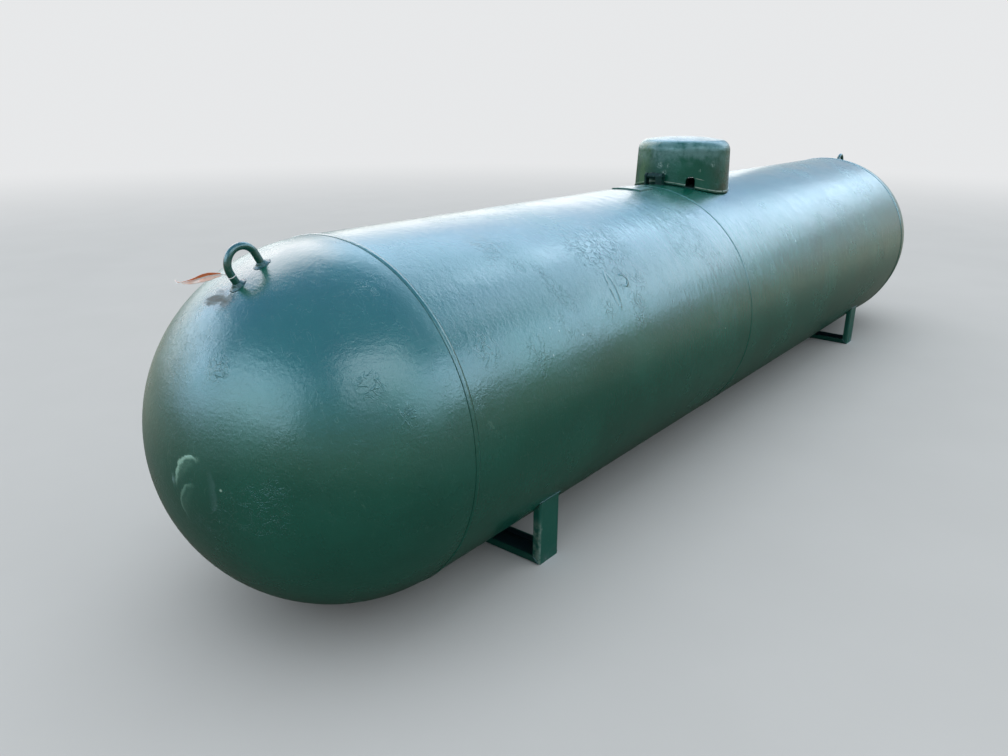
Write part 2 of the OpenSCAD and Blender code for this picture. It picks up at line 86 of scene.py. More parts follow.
class Finish:
    """A material put together from noise, masks and bumps on the piece's own coordinates."""

    def __init__(self, name, slot="shell_paint"):
        self.material = bpy.data.materials.new(name)
        self.material.use_nodes = True
        self.tree = self.material.node_tree
        self.shader = self.tree.nodes["Principled BSDF"]
        self.place = self.add("ShaderNodeTexCoord").outputs["Object"]
        self.slot = slot
        self.colour = (0.5, 0.5, 0.5)
        self.roughness = 0.5
        self.bump_normal = None

    def add(self, kind, inputs=None, **settings):
        return add_node(self.tree, kind, inputs, **settings)

    def math(self, operation, a, b=0.0):
        return self.add("ShaderNodeMath", {0: a, 1: b}, operation=operation).outputs[0]

    def both(self, a, b):
        """A mask or height, only as strong as another mask."""
        return self.math("MULTIPLY", a, b)

    def spot(self, centre=(0, 0, 0), turn=(0, 0, 0), size=(1, 1, 1)):
        """The piece's coordinates seen from a centre, turned and stretched to a size."""
        return self.add("ShaderNodeMapping", {"Vector": self.place, "Location": centre,
                                              "Rotation": turn, "Scale": size},
                        vector_type="TEXTURE").outputs[0]

    def noise(self, scale, detail=3.0, rough=0.5, bend=0.0, vector=None):
        return self.add("ShaderNodeTexNoise", {"Vector": vector or self.place, "Scale": scale,
                                               "Detail": detail, "Roughness": rough,
                                               "Distortion": bend}).outputs["Fac"]

    def between(self, value, low, high, start=0.0, end=1.0):
        """Goes smoothly from the start to the end while the value goes from low to high."""
        return self.add("ShaderNodeMapRange", {"Value": value, "From Min": low, "From Max": high,
                                               "To Min": start, "To Max": end},
                        interpolation_type="SMOOTHSTEP").outputs[0]

    def band(self, value, low, high, soft):
        """1 between two values, with soft ends."""
        return self.both(self.between(value, low - soft, low + soft),
                         self.between(value, high - soft, high + soft, 1.0, 0.0))

    def vector(self, operation, a, b=(0, 0, 0)):
        return self.add("ShaderNodeVectorMath", {0: a, 1: b}, operation=operation).outputs

    def length(self, vector):
        return self.vector("LENGTH", vector)["Value"]

    def part(self, axis, vector=None):
        return self.add("ShaderNodeSeparateXYZ", {0: vector or self.place}).outputs[axis]

    def slow_noise(self, scale, start, end):
        """A soft noise that wavers between two values."""
        return self.between(self.noise(scale), 0.3, 0.7, start, end)

    def ball(self, centre, radius, soft):
        """A mask that is 1 inside a round spot and fades to 0 over its soft edge."""
        return self.between(self.length(self.spot(centre)), radius, radius + soft, 1.0, 0.0)

    def spots(self, places):
        """A mask over round places, each a centre and a reach, full only in its middle."""
        mask = 0.0
        for centre, reach in places:
            mask = self.math("MAXIMUM", mask, self.ball(centre, reach * 0.3, reach))
        return mask

    def blend(self, amount, a, b):
        made = self.add("ShaderNodeMix", {0: amount}, data_type="RGBA")
        for index, value in ((6, a), (7, b)):
            if isinstance(value, bpy.types.NodeSocket):
                self.tree.links.new(value, made.inputs[index])
            else:
                made.inputs[index].default_value = (*value, 1)
        return made.outputs[2]

    def tint(self, mask, amount, colour):
        """Lays a colour over the finish, as strong as a mask times an amount."""
        self.colour = self.blend(self.both(mask, amount), self.colour, colour)

    def dull(self, mask, amount):
        self.roughness = self.math("ADD", self.roughness, self.both(mask, amount))

    def bump(self, height, depth):
        inputs = {"Height": height, "Distance": depth}
        if self.bump_normal is not None:
            inputs["Normal"] = self.bump_normal
        self.bump_normal = self.add("ShaderNodeBump", inputs).outputs[0]

    def done(self, **sockets):
        for name, value in (("Base Color", self.colour), ("Roughness", self.roughness),
                            ("Normal", self.bump_normal)):
            self.tree.links.new(value, self.shader.inputs[name])
        for name, value in sockets.items():
            self.shader.inputs[name.replace("_", " ")].default_value = value
        return self


def thin_lines(look, density, half_width, bend, vector=None):
    """Thin wavering lines where a noise passes its middle value."""
    off = look.math("ABSOLUTE", look.math("SUBTRACT", look.noise(density, 2.0, 0.45, bend, vector), 0.5))
    return look.between(off, 0.0, half_width, 1.0, 0.0)


def hairlines(look, turn, density, seed):
    """Thin broken scratch lines that run mostly one way."""
    lane = look.spot(centre=(seed, seed * 0.7, -seed), turn=turn, size=(1.0, 0.2, 0.2))
    broken = look.between(look.noise(6.0, 2.0, 0.6, 0.0, lane), 0.52, 0.60)
    return look.both(thin_lines(look, density, 0.005, 1.2, lane), broken)


def enamel(name, deep, light, strokes=round_strokes, gloss=0.20, peel=1.0):
    """Thick brushed enamel: patchy colour, strokes, orange peel, wrinkles, pits and scratches."""
    look = Finish(name)
    look.colour = look.blend(look.between(look.noise(2.6, 4.0, 0.6), 0.30, 0.72), deep, light)
    look.roughness = look.between(look.noise(5.0, 4.0, 0.6), 0.25, 0.8, gloss, gloss + 0.10)
    lanes = look.spot(size=strokes)
    bristles = look.noise(260.0, 3.0, 0.65, 0.0, lanes)
    thin_coat = tuple(c * 1.5 + 0.003 for c in deep)
    look.tint(look.between(bristles, 0.52, 0.75), 0.22, thin_coat)
    worked = look.between(look.noise(3.7, 2.0, 0.5), 0.40, 0.60, 0.20, 1.0)
    look.bump(look.noise(3.2, 1.0, 0.4), 0.0026)
    look.bump(look.noise(26.0, 2.0, 0.5), 0.0006 * peel)
    look.bump(look.both(look.noise(75.0, 2.0, 0.55, 0.6, lanes), worked), 0.00042 * peel)
    look.bump(look.noise(105.0, 3.0, 0.62, 0.4), 0.00062 * peel)
    look.bump(bristles, 0.00010 * peel)
    wrinkled = look.between(look.noise(2.9, 3.0, 0.6), 0.56, 0.66)
    look.bump(look.both(thin_lines(look, 36.0, 0.030, 2.0), wrinkled), 0.00030 * peel)
    pits = look.between(look.noise(430.0, 1.0, 0.5), 0.72, 0.79)
    look.tint(pits, 0.35, (0.03, 0.13, 0.09))
    look.bump(pits, -0.00025 * peel)
    scratch = look.math("MAXIMUM", hairlines(look, (0.3, 0.9, 0.4), 4.0, 3.1),
                        hairlines(look, (1.1, -0.5, 1.3), 5.0, 8.7))
    look.tint(scratch, 0.28, (0.09, 0.22, 0.16))
    look.bump(scratch, -0.00012)
    return look


def coat(names, look):
    """Gives pieces of the built frame their finish."""
    for name in names:
        for place in nodes[name].material_slots:
            place.material = look.material


def wrinkle(look, places, density, depth):
    """Wrinkled skin in the paint round some places, each a centre and a reach."""
    mask = look.spots(places)
    folds = look.both(thin_lines(look, density, 0.060, 1.6), mask)
    look.bump(folds, depth)
    look.bump(look.both(look.noise(density * 3.2, 3.0, 0.6, 0.8), mask), depth * 0.9)
    # The fold lines are also darkened a little, a painted shade in the creases.
    look.tint(folds, 0.06, (0.02, 0.05, 0.04))


course_look = enamel("course_enamel", deep_green, light_green)
wrinkled_places = [((-1.185, -0.405, 0.845), 0.060), ((-1.10, -0.412, 0.840), 0.055),
                   ((-1.16, -0.452, 0.772), 0.050), ((-1.18, -0.478, 0.718), 0.040),
                   ((-1.145, -0.312, 0.934), 0.130), ((-1.25, -0.318, 0.930), 0.110),
                   ((-1.33, -0.447, 0.781), 0.040), ((-1.91, -0.444, 0.786), 0.060),
                   ((-1.715, -0.468, 0.741), 0.060), ((-1.72, -0.489, 0.685), 0.020)]
wrinkle(course_look, wrinkled_places, 32.0, 0.00042)

# Two long creases and a short curl stand up where the paint went over something torn off
torn_place = (-1.26, -0.425, 0.825)
torn_tilt = (0.95, 0.10, 0.0)
torn_size = (0.020, 0.080, 0.080)
torn = course_look.length(course_look.spot(torn_place, torn_tilt, torn_size))
broken = course_look.between(course_look.noise(30.0), 0.35, 0.50)
course_look.bump(course_look.both(course_look.band(torn, 0.62, 0.86, 0.10), broken), 0.0008)
curl_place = (-1.182, -0.408, 0.838)
curl_size = (0.024, 0.024, 0.024)
curl_start, curl_end = -1.196, -1.180
curl = course_look.length(course_look.spot(curl_place, size=curl_size))
curl_side = course_look.between(course_look.part("X"), curl_start, curl_end)
course_look.bump(course_look.both(course_look.band(curl, 0.72, 1.0, 0.10), curl_side), 0.0021)

# From here on the brush left deeper strokes, and a few chips show what lies under the green
strokes_start, strokes_end = -1.15, -0.75
brushed = course_look.noise(30.0, 2.0, 0.5, 0.4, course_look.spot(size=(1.0, 3.0, 3.0)))
brushed_part = course_look.between(course_look.part("X"), strokes_start, strokes_end)
course_look.bump(course_look.both(brushed, brushed_part), 0.0011)
chipped = 0.0
for chip, reach in (((-1.60, -0.455, 0.769), 0.0015), ((-1.5, -0.47, 0.738), 0.0012),
                    ((-1.66, -0.478, 0.716), 0.0012), ((-1.635, -0.446, 0.783), 0.0012)):
    chipped = course_look.math("MAXIMUM", chipped, course_look.ball(chip, reach, 0.003))
course_look.tint(chipped, 0.7, (0.28, 0.42, 0.38))

# Under the hood the enamel stayed thin and dull, and the shell there is darkened as painted shade
covered_inner, covered_outer = 0.186, 0.204
from_crown = course_look.length(course_look.spot((0, 0, axis_height + shell_radius)))
hood_shade_and_dull = course_look.between(from_crown, covered_inner, covered_outer, 1.0, 0.0)
# The dark tint is painted shade under the hood; the added roughness makes it dull.
course_look.tint(hood_shade_and_dull, 0.45, (0.012, 0.028, 0.020))
course_look.dull(hood_shade_and_dull, 0.55)
coat(["near_course", "far_course"], course_look.done())


# Heads: two half balls pressed from plate and welded to the courses. They were brushed from
# side to side. On the near one a thumb-sized dirt mark sits under the lug, and the paint
# covers what is left of a round sticker low on its nose. Its film is partly the sticker's
# paler paint; its torn rims and film take a painted highlight on their upper side, and a
# bluish painted reflection lies along its other side.
side_strokes = (4.5, 4.5, 1.0)
dirt_place = (-2.347, 0.030, 0.922)
dirt_tilt = (0.0, 0.72, 0.0)
dirt_size = (0.031, 0.062, 0.036)
upper_lobe = (-2.53, -0.083, 0.523)
upper_size = (10.0, 0.070, 0.084)
lower_lobe = (-2.53, -0.085, 0.468)
lower_size = (10.0, 0.067, 0.067)
near_nose = -2.3
residue_and_highlight = (0.17, 0.37, 0.29)

head_look = enamel("head_enamel", deep_green, light_green, side_strokes, 0.24)
wrinkle(head_look, [((-2.25, -0.392, 0.772), 0.035), ((-2.20, -0.455, 0.700), 0.030),
                    ((-2.45, -0.10, 0.800), 0.040)], 40.0, 0.0006)
streaks = head_look.noise(110.0, 4.0, 0.7, 0.0, head_look.spot(size=(1.0, 4.0, 1.0)))
streaks = head_look.between(streaks, 0.28, 0.60, 0.60, 1.0)
ragged = head_look.noise(38.0, 4.0, 0.65, 0.0, head_look.spot(size=(1.0, 2.5, 1.0)))
ragged = head_look.between(ragged, 0.25, 0.75, -0.32, 0.32)
dirt = head_look.length(head_look.spot(dirt_place, dirt_tilt, dirt_size))
dirt = head_look.between(head_look.math("ADD", dirt, ragged), 0.25, 1.10, 1.0, 0.0)
dirt = head_look.both(dirt, streaks)
head_look.tint(dirt, 1.0, (0.048, 0.036, 0.016))
head_look.dull(head_look.between(dirt, 0.30, 0.95), 0.50)


def sticker_lobe(look, centre, size, toward, low, high):
    """The torn rim and the film of one lobe of the old sticker, strongest on one side, where painted light
    falls.
    """
    place = look.spot(centre, size=size)
    ragged = look.between(look.noise(35.0, 3.0, 0.6), 0.3, 0.7, -0.06, 0.06)
    ragged = look.math("ADD", look.length(place), ragged)
    side = look.between(look.vector("DOT_PRODUCT", place, toward)["Value"], low, high)
    near_end = look.between(look.part("X"), near_nose - 0.02, near_nose + 0.02, 1.0, 0.0)
    rim = look.both(look.band(ragged, 0.86, 0.98, 0.04), side)
    film = look.both(look.between(ragged, 0.90, 0.99, 1.0, 0.0), side)
    return look.both(rim, near_end), look.both(film, near_end)


upper_rim, upper_film = sticker_lobe(head_look, upper_lobe, upper_size, (0, 0.62, 0.78), 0.45, 0.85)
lower_rim, lower_film = sticker_lobe(head_look, lower_lobe, lower_size, (0, 0.90, 0.43), 0.30, 0.95)
side_reflection = sticker_lobe(head_look, upper_lobe, upper_size, (0, -1.0, 0.0), 0.55, 0.85)[1]
patchy = head_look.between(head_look.noise(60.0, 3.0, 0.6), 0.35, 0.65, 0.35, 1.0)
# The films are paler partly from the old sticker's paint and partly as a painted highlight; the rims are a
# painted highlight on their lit side, and the side band is a painted bluish reflection.
head_look.tint(head_look.both(upper_film, patchy), 0.50, residue_and_highlight)
head_look.tint(upper_rim, 0.80, (0.28, 0.52, 0.42))
head_look.tint(head_look.both(lower_film, patchy), 0.26, residue_and_highlight)
head_look.tint(lower_rim, 0.42, residue_and_highlight)
head_look.tint(side_reflection, 0.24, (0.10, 0.21, 0.21))
head_look.tint(head_look.ball((-2.5155, -0.162, 0.537), 0.0015, 0.004), 0.8, (0.40, 0.60, 0.50))
for raised in (upper_film, lower_film):
    head_look.bump(raised, 0.0007)
coat(["near_head", "far_head"], head_look.done())


# Seam welds. One bead runs round each end of the shell and between the courses, and one along
# the back of each course. A machine laid them in one pass, so they are even, with fine ripples
# under the paint.
weld_look = enamel("weld_enamel", deep_green, light_green, (5.0, 1.0, 1.0)).done()
seat_gap = 0.0002
bead_points = 9
ripple_pitch = 0.0055
long_bead_width = 0.009
long_bead_height = 0.0014


def open_edges(mesh):
    return [edge for edge in mesh.edges if edge.is_boundary]


def finished(name, mesh, look, body):
    """Turns a mesh into a smooth piece that rides on a body."""
    bmesh.ops.recalc_face_normals(mesh, faces=mesh.faces)
    if all(edge.is_manifold for edge in mesh.edges) and mesh.calc_volume(signed=True) < 0:
        bmesh.ops.reverse_faces(mesh, faces=mesh.faces)
    data = bpy.data.meshes.new(name)
    mesh.to_mesh(data)
    mesh.free()
    data.shade_smooth()
    data.materials.append(look.material)
    piece = bpy.data.objects.new(name, data)
    bpy.context.scene.collection.objects.link(piece)
    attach(piece, body)
    return piece


def bead_section(mesh, start, across, out, width, height):
    """The closed outline of a bead: flat on the shell, its crown rounded off to both sides."""
    corners = []
    for step in range(bead_points):
        reach = 2 * step / (bead_points - 1) - 1
        rise = height * (1 - reach * reach) ** 1.6
        corners.append(mesh.verts.new(start + across * reach * width / 2 + out * rise))
    return corners + [mesh.edges.new((corners[i - 1], corners[i])) for i in range(bead_points)]


def uneven_height(point):
    """The share of a machine bead's height that its ripples take off at a point."""
    return 0.14 + 0.12 * noise.noise(point * 70)


def seam_round(node):
    """A girth bead: its outline spun round the vessel's axis, and made a little uneven."""
    low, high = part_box(node)
    width, height = high.x - low.x, (high.z - low.z) / 2 - shell_radius - seat_gap
    middle = (low.x + high.x) / 2
    start = Vector((middle, 0, axis_height + shell_radius + seat_gap))
    mesh = bmesh.new()
    outline = bead_section(mesh, start, Vector((1, 0, 0)), Vector((0, 0, 1)), width, height)
    bmesh.ops.spin(mesh, geom=outline, cent=(0, 0, axis_height), axis=(1, 0, 0), angle=math.tau,
                   steps=round(math.tau * shell_radius / ripple_pitch), use_merge=True)
    for vertex in mesh.verts:
        out = Vector((0, vertex.co.y, vertex.co.z - axis_height))
        rise = out.length - shell_radius - seat_gap
        vertex.co -= out.normalized() * rise * uneven_height(vertex.co)
        vertex.co.x += 0.0006 * noise.noise(out * 9) * min(1.0, rise / height * 2)
    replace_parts(finished(node + "_bead", mesh, weld_look, "tank"), node)


def seam_along(node):
    """A straight bead along a course, closed at both ends."""
    low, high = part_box(node)
    out = Vector((0, low.y + high.y, low.z + high.z - 2 * axis_height)).normalized()
    start = Vector((low.x, 0, axis_height)) + out * (shell_radius + seat_gap)
    across = out.cross(Vector((1, 0, 0)))
    run = high.x - low.x
    steps = round(run / ripple_pitch)
    mesh = bmesh.new()
    outline = bead_section(mesh, start, across, out, long_bead_width, long_bead_height)
    bmesh.ops.spin(mesh, geom=outline, dvec=(run / steps, 0, 0), axis=(1, 0, 0), angle=0, steps=steps)
    bmesh.ops.holes_fill(mesh, edges=open_edges(mesh))
    for vertex in mesh.verts:
        rise = (vertex.co - Vector((vertex.co.x, 0, axis_height))).dot(out) - shell_radius - seat_gap
        vertex.co -= out * rise * uneven_height(vertex.co)
    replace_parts(finished(node + "_bead", mesh, weld_look, "tank"), node)


for node in ("near_girth_weld", "middle_girth_weld", "far_girth_weld"):
    seam_round(node)
for node in ("near_long_weld", "far_long_weld"):
    seam_along(node)


# Lifting lugs: a round bar bent to a hoop stands on each head, a little tilted toward the
# vessel's end, and each foot sits in a thick hand-laid weld that runs out on the head.
lug_lean = math.radians(29)
lug_foot = 0.0415
lug_bar = 0.0095
collar_h = 0.0105
collar_w = 0.0062
skirt_w = 0.0062
collar_rough = 0.0011
lug_look = enamel("lug_enamel", (0.0030, 0.050, 0.033), (0.0050, 0.075, 0.050), (1.0, 1.0, 4.0), 0.22, 0.6)
rubbed = lug_look.between(lug_look.noise(45.0, 4.0, 0.65), 0.50, 0.66)
lug_look.tint(rubbed, 0.35, (0.060, 0.050, 0.026))
lug_look.dull(rubbed, 0.25)
coat(["near_lifting_lug", "far_lifting_lug"], lug_look.done())
hand_weld_look = enamel("hand_weld_enamel", (0.0026, 0.036, 0.025), (0.0042, 0.056, 0.038),
                        (1.0, 1.0, 1.0), 0.34)
rusty = hand_weld_look.between(hand_weld_look.noise(90.0, 3.0, 0.6), 0.50, 0.62)
hand_weld_look.tint(rusty, 0.4, (0.030, 0.027, 0.016))
hand_weld_look.done(Specular_IOR_Level=0.32)


def lug_collar(name, end, foot):
    """The weld round one foot: a short profile spun round the bar, then laid on the round head."""
    mesh = bmesh.new()
    heights = [(lug_bar + collar_w + skirt_w, 0.0),
               (lug_bar + collar_w + skirt_w * 0.35, 0.0012),
               (lug_bar + collar_w * 0.78, collar_h * 0.36),
               (lug_bar + collar_w * 0.34, collar_h * 0.74),
               (lug_bar - 0.0005, collar_h)]
    points = [mesh.verts.new((reach, 0, rise)) for reach, rise in heights]
    line = [mesh.edges.new((points[i], points[i + 1])) for i in range(len(points) - 1)]
    bmesh.ops.spin(mesh, geom=points + line, axis=(0, 0, 1), angle=math.tau, steps=56, use_merge=True)
    bmesh.ops.subdivide_edges(mesh, edges=mesh.edges[:], cuts=1, smooth=0.6)
    for vertex in mesh.verts:
        reach = Vector((vertex.co.x, vertex.co.y, 0))
        spread = max(0.0, reach.length - lug_bar - collar_w) / skirt_w
        uneven = noise.noise(vertex.co * 160 + Vector((end, foot, 0)) * 7)
        wobble = collar_rough * uneven * min(1.0, (reach.length - lug_bar) / 0.002)
        run_out = spread * skirt_w * (0.9 * (reach.x / reach.length) ** 2 - 0.55)
        vertex.co += reach.normalized() * (wobble + run_out)
        vertex.co.z += 0.0008 * abs(uneven) * (1.0 - vertex.co.z / collar_h)
    upper = [edge for edge in open_edges(mesh) if edge.verts[0].co.z > collar_h / 2]
    for part in bmesh.ops.extrude_edge_only(mesh, edges=upper)["geom"]:
        if isinstance(part, bmesh.types.BMVert):
            part.co.z = 0.0
    bmesh.ops.bridge_loops(mesh, edges=open_edges(mesh))
    for vertex in mesh.verts:
        along = foot * lug_foot + vertex.co.x
        head_z = math.sqrt(shell_radius ** 2 - along ** 2 - vertex.co.y ** 2)
        vertex.co = Vector((along, vertex.co.y, head_z + vertex.co.z))
    place = Matrix.Translation((end * half_length, 0, axis_height)) @ Matrix.Rotation(end * lug_lean, 4, "Y")
    bmesh.ops.transform(mesh, matrix=place, verts=mesh.verts)
    finished(name, mesh, hand_weld_look, "tank")


for end, end_name in ((-1, "near"), (1, "far")):
    lug_collar(end_name + "_lug_outer_weld", end, end)
    lug_collar(end_name + "_lug_inner_weld", end, -end)


# Crown plate: a thin curved plate lies on the crown between the near lug and the hood. It is
# tacked at its corners and painted in with the shell.
tack_radius = 0.0024
tack_len = 0.014
tack_rise = 0.001
hand_ripple = 0.0028
plate_look = enamel("plate_enamel", deep_green, light_green, (4.5, 1.0, 1.0), 0.22)
scuffed = plate_look.between(plate_look.noise(30.0, 4.0, 0.65), 0.50, 0.68)
plate_look.tint(scuffed, 0.35, (0.09, 0.16, 0.13))
plate_look.dull(scuffed, 0.15)
coat(["crown_plate"], plate_look.done())


def lay_weld(mesh, start, along, radius, length=0.0, centre=(0, 0, 0), axis=(1, 0, 0), angle=0.0):
    """Lays one rippled round bead from a start point, straight along a way or round an axis."""
    old = set(mesh.verts)
    ring = bmesh.ops.create_circle(
        mesh, segments=10, radius=radius,
        matrix=Matrix.Translation(start) @ along.to_track_quat("Z", "Y").to_matrix().to_4x4())["verts"]
    edges = list({edge for vertex in ring for edge in vertex.link_edges})
    reach = length or abs(angle) * (start - Vector(centre)).cross(Vector(axis)).length
    steps = max(6, round(reach / hand_ripple))
    whole = math.isclose(abs(angle), math.tau)
    bmesh.ops.spin(mesh, geom=ring + edges, cent=centre, axis=axis, dvec=along * length / steps,
                   angle=angle, steps=steps, use_merge=whole)
    if not whole:
        bmesh.ops.holes_fill(mesh, edges=open_edges(mesh))
    mesh.normal_update()
    for vertex in mesh.verts:
        if vertex not in old:
            vertex.co += vertex.normal * radius * 0.35 * noise.noise(vertex.co * 240)


def crown_at(y):
    """Height of the shell's surface beside the crown line, over the floor."""
    return axis_height + math.sqrt(shell_radius ** 2 - y * y)


low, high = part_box("crown_plate")
tacks = bmesh.new()
for x in (low.x, high.x - tack_len):
    for y in (low.y, high.y):
        lay_weld(tacks, Vector((x, y, crown_at(y) + tack_rise)), Vector((1, 0, 0)), tack_radius, tack_len)
finished("crown_plate_tacks", tacks, hand_weld_look, "tank")


# Leg frames: under each end a pair of posts and a cross channel, all cut from one formed
# channel, mitred and welded together, and welded to the shell. The near one is scuffed along
# the bottom. The cross channels are painted darker than the posts, a painted shade under the
# belly, and their troughs near black, a painted shade inside the channel.
scuff_height = 0.17
dirt_height = 0.05
frame_look = enamel("frame_enamel", (0.0030, 0.072, 0.050), (0.0050, 0.094, 0.066),
                    (4.0, 4.0, 1.0), 0.28, 0.8)
post_low, post_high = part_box("near_front_post")
channel_low, channel_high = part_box("near_cross_channel")
near_side = frame_look.between(frame_look.part("X"), post_low.x + 0.004, post_low.x + 0.010, 1.0, 0.0)
scuffed = frame_look.between(frame_look.part("Z"), scuff_height * 0.7, scuff_height, 1.0, 0.0)
scuffed = frame_look.both(scuffed, near_side)
rubbed = frame_look.between(frame_look.noise(45.0, 4.0, 0.65), 0.38, 0.58)
scuffed = frame_look.both(scuffed, rubbed)
frame_look.tint(scuffed, 0.75, (0.15, 0.23, 0.19))
frame_look.dull(scuffed, 0.25)
low_dirt = frame_look.both(frame_look.between(frame_look.part("Z"), 0.0, dirt_height, 1.0, 0.0),
                           frame_look.between(frame_look.noise(25.0, 4.0, 0.6), 0.40, 0.65))
frame_look.tint(low_dirt, 0.40, (0.055, 0.060, 0.042))
frame_look.dull(low_dirt, 0.3)
chips = frame_look.between(frame_look.noise(75.0, 2.0, 0.6), 0.70, 0.74)
frame_look.tint(chips, 0.6, (0.20, 0.28, 0.24))
coat(["near_front_post", "near_back_post", "far_front_post", "far_back_post"], frame_look.done())

channel_wall = 0.005
trough_shade_low, trough_shade_high = 0.0044, 0.0250
# The channels' enamel is set darker than the posts', a painted shade under the belly.
channel_look = enamel("channel_enamel", (0.0030, 0.055, 0.040), (0.0050, 0.075, 0.055),
                      (4.0, 1.0, 4.0), 0.30, 0.8)
frame_middle = (post_low.x + post_high.x) / 2
trough_half = (channel_high.x - channel_low.x) / 2 - channel_wall
above_web = channel_look.between(channel_look.part("Z"), trough_shade_low - 0.0004, trough_shade_low + 0.0004)
below_edge = channel_look.between(channel_look.part("Z"), trough_shade_high - 0.0005, trough_shade_high + 0.0005,
                                  1.0, 0.0)
inside = channel_look.both(above_web, below_edge)
streaked = channel_look.noise(30.0, 4.0, 0.6, 0.5, channel_look.spot(size=(1.0, 5.0, 1.0)))
streaked = channel_look.between(streaked, 0.25, 0.50, 0.70, 1.0)
for middle in (frame_middle, -frame_middle):
    across = channel_look.math("ABSOLUTE", channel_look.math("SUBTRACT", channel_look.part("X"), middle))
    between_walls = channel_look.between(across, trough_half + 0.0005, trough_half + 0.0020, 1.0, 0.0)
    trough = channel_look.both(inside, between_walls)
    # The trough is painted near black and streaked: painted shade inside the channel.
    channel_look.tint(channel_look.both(trough, streaked), 0.90, (0.0070, 0.0150, 0.0230))
coat(["near_cross_channel", "far_cross_channel"], channel_look.done())

web_bead = 0.0026
flange_bead = 0.0034
mitre_bead = 0.0020
mitre_start = 0.004
bead_off_web = 0.0002
bead_off_flange = 0.0008


def frame_welds(name, post, side):
    """Beads along the web and both flanges where a post meets the shell, and down its mitre."""
    low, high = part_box(post)
    tip, web = sorted((abs(low.y), abs(high.y)))
    turn_web, turn_tip = math.asin(web / shell_radius), math.asin(tip / shell_radius)
    drop = -shell_radius * math.cos(turn_web)
    mesh = bmesh.new()
    lay_weld(mesh, Vector((low.x, side * (web + bead_off_web), axis_height + drop)), Vector((1, 0, 0)),
             web_bead, high.x - low.x)
    for x in (low.x - bead_off_flange, high.x + bead_off_flange):
        start = Vector((x, side * web, axis_height + drop))
        way = Vector((0, -side * math.cos(turn_web), -math.sin(turn_web)))
        lay_weld(mesh, start, way, flange_bead, centre=(x, 0, axis_height), axis=(-side, 0, 0),
                 angle=turn_web - turn_tip)
        foot = Vector((x, side * (web - mitre_start), mitre_start))
        depth = web - tip - mitre_start
        lay_weld(mesh, foot, Vector((0, -side, 1)).normalized(), mitre_bead, depth * math.sqrt(2))
    finished(name, mesh, hand_weld_look, "tank")


for end_name in ("near", "far"):
    for side_name, side in (("front", -1), ("back", 1)):
        post = f"{end_name}_{side_name}_post"
        frame_welds(post + "_welds", post, side)


# Fittings: five couplings and the gauge boss are welded into the crown under the hood. Turned
# brass valves stand on them with hexagons, knurled caps and a red handwheel, and the gauge has
# a pale dial under a brass ring.
brass_bright = (0.50, 0.34, 0.13)
brass_dull = (0.30, 0.19, 0.085)
coupling_look = enamel("coupling_enamel", (0.0030, 0.060, 0.040), (0.0050, 0.084, 0.056),
                       (1.0, 1.0, 1.0), 0.26, 0.6)
coat(["couplings"], coupling_look.done())


def brass(name):
    """Turned brass: fine tool marks, a mottled colour and some tarnish."""
    look = Finish(name, "brass")
    look.colour = look.blend(look.between(look.noise(40.0, 4.0, 0.6), 0.35, 0.65), brass_bright, brass_dull)
    look.roughness = look.slow_noise(60.0, 0.26, 0.48)
    tarnish = look.between(look.noise(22.0, 4.0, 0.7), 0.54, 0.68)
    look.tint(tarnish, 0.55, (0.11, 0.13, 0.075))
    look.dull(tarnish, 0.2)
    look.bump(look.noise(900.0, 2.0, 0.5, 0.0, look.spot(size=(9.0, 9.0, 1.0))), 0.00006)
    look.bump(look.noise(260.0), 0.00010)
    return look


brass_look = brass("valve_brass").done(Metallic=1.0)
coat(["relief_valve", "filler_valve", "vapour_valve", "service_valve", "float_gauge", "level_valve"],
     brass_look)

wheel_look = Finish("handwheel_red", "handwheel_paint")
wheel_look.colour = wheel_look.blend(wheel_look.slow_noise(60.0, 0.0, 1.0),
                                     (0.42, 0.030, 0.020), (0.30, 0.025, 0.018))
wheel_look.roughness = wheel_look.slow_noise(60.0, 0.30, 0.50)
wheel_look.tint(wheel_look.between(wheel_look.noise(110.0, 3.0, 0.6), 0.60, 0.68), 0.7, (0.16, 0.13, 0.11))
wheel_look.bump(wheel_look.noise(320.0), 0.00015)
coat(["handwheel"], wheel_look.done())


def fluted_band(name, node, reach, bottom, tall, flutes, depth=0.0007):
    """A knurled band round a cap: a round blank with every other corner pushed out, then drawn up."""
    low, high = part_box(node)
    middle = (low + high) / 2
    mesh = bmesh.new()
    blank = bmesh.ops.create_circle(mesh, cap_ends=True, segments=2 * flutes, radius=reach)["verts"]
    for number, corner in enumerate(blank):
        corner.co *= 1 + (depth / reach if number % 2 else 0)
    drawn = bmesh.ops.extrude_face_region(mesh, geom=mesh.faces[:])["geom"]
    drawn = [part for part in drawn if isinstance(part, bmesh.types.BMVert)]
    bmesh.ops.translate(mesh, vec=(0, 0, tall), verts=drawn)
    rims = [edge for edge in mesh.edges if abs(edge.verts[0].co.z - edge.verts[1].co.z) < tall / 2]
    bmesh.ops.bevel(mesh, geom=rims, offset=0.0004, segments=1, profile=0.5, affect="EDGES", material=-1)
    bmesh.ops.translate(mesh, vec=(middle.x, middle.y, high.z - bottom), verts=mesh.verts)
    finished(name, mesh, brass_look, "tank")


fluted_band("vapour_cap_knurl", "vapour_valve", reach=0.0202, bottom=0.018, tall=0.014, flutes=44)
fluted_band("level_knob_knurl", "level_valve", reach=0.0121, bottom=0.010, tall=0.008, flutes=30)
fluted_band("relief_body_knurl", "relief_valve", reach=0.0212, bottom=0.036, tall=0.014, flutes=48)

large_foot = 0.0302
small_foot = 0.0227
gauge_foot = 0.0272
foot_bead = 0.0036


